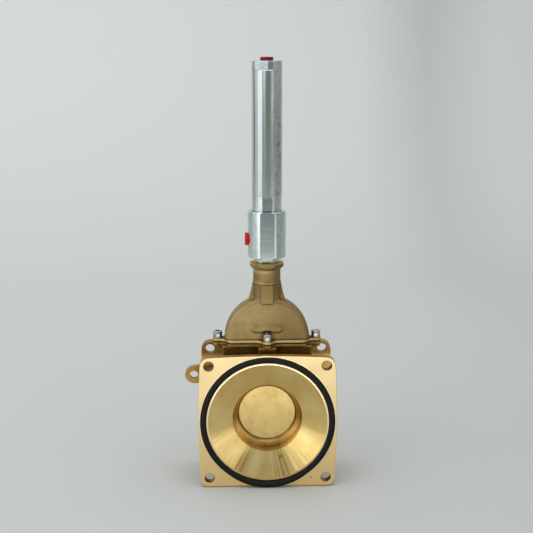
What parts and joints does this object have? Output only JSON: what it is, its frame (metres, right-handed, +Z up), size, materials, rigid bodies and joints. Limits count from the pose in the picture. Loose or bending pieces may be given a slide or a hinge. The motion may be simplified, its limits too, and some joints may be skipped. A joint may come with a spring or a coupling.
{
  "type": "slide gate valve",
  "caption": "Brass slide gate valve: square flanges, a flared inlet and a half-round bonnet, its gate raised by a hydraulic cylinder on top.",
  "frame": {"origin": "centre of the inlet flange's face, on the bore axis", "axes": "+Y along the bore from inlet to outlet, +Z up along the valve's stem and cylinder, +X to the right seen from the inlet"},
  "size_m": [0.1696, 0.0821, 0.4734],
  "materials": {
    "cast_brass": "sand cast and blasted, faces machined bright",
    "machined_brass": "machined",
    "turned_aluminium": "turned and milled",
    "drawn_aluminium": "drawn tube, brushed",
    "stainless_steel": "bright",
    "nitrile_rubber": "satin",
    "gasket_fibre": "matte",
    "bearing_plastic": "matte",
    "red_polyethylene": "moulded, semi-gloss"
  },
  "bodies": {
    "housing": {"valve_body": "cast_brass", "flange_face_ring": "nitrile_rubber", "inlet_seat_ring": "machined_brass", "outlet_seat_ring": "machined_brass", "inlet_seat_seal": "nitrile_rubber", "outlet_seat_seal": "nitrile_rubber", "bonnet": "cast_brass", "bonnet_gasket": "gasket_fibre", "bonnet_screws": "stainless_steel", "bonnet_washers": "stainless_steel", "gland_bush": "machined_brass", "neck_rod_seal": "nitrile_rubber", "neck_scraper": "nitrile_rubber", "cylinder_head": "turned_aluminium", "head_guide_ring": "bearing_plastic", "head_rod_seal": "nitrile_rubber", "head_tube_ring": "nitrile_rubber", "cylinder_tube": "drawn_aluminium", "end_cap": "turned_aluminium", "cap_tube_ring": "nitrile_rubber"},
    "gate_and_rod": {"gate": "machined_brass", "piston_rod": "stainless_steel", "piston": "turned_aluminium", "piston_seal": "nitrile_rubber", "piston_wear_ring": "bearing_plastic", "piston_nut": "stainless_steel"},
    "side_plug": {"side_port_plug": "red_polyethylene"},
    "top_plug": {"top_port_plug": "red_polyethylene"}
  },
  "joints": [
    {"name": "gate_slide", "type": "slide", "parent": "housing", "child": "gate_and_rod", "axis": [0, 0, 1], "range_m": [0, 0.075]},
    {"name": "side_plug_pull", "type": "slide", "parent": "housing", "child": "side_plug", "axis": [-1, 0, 0], "range_m": [0, 0.012]},
    {"name": "top_plug_pull", "type": "slide", "parent": "housing", "child": "top_plug", "axis": [0, 0, 1], "range_m": [0, 0.012]}
  ]
}
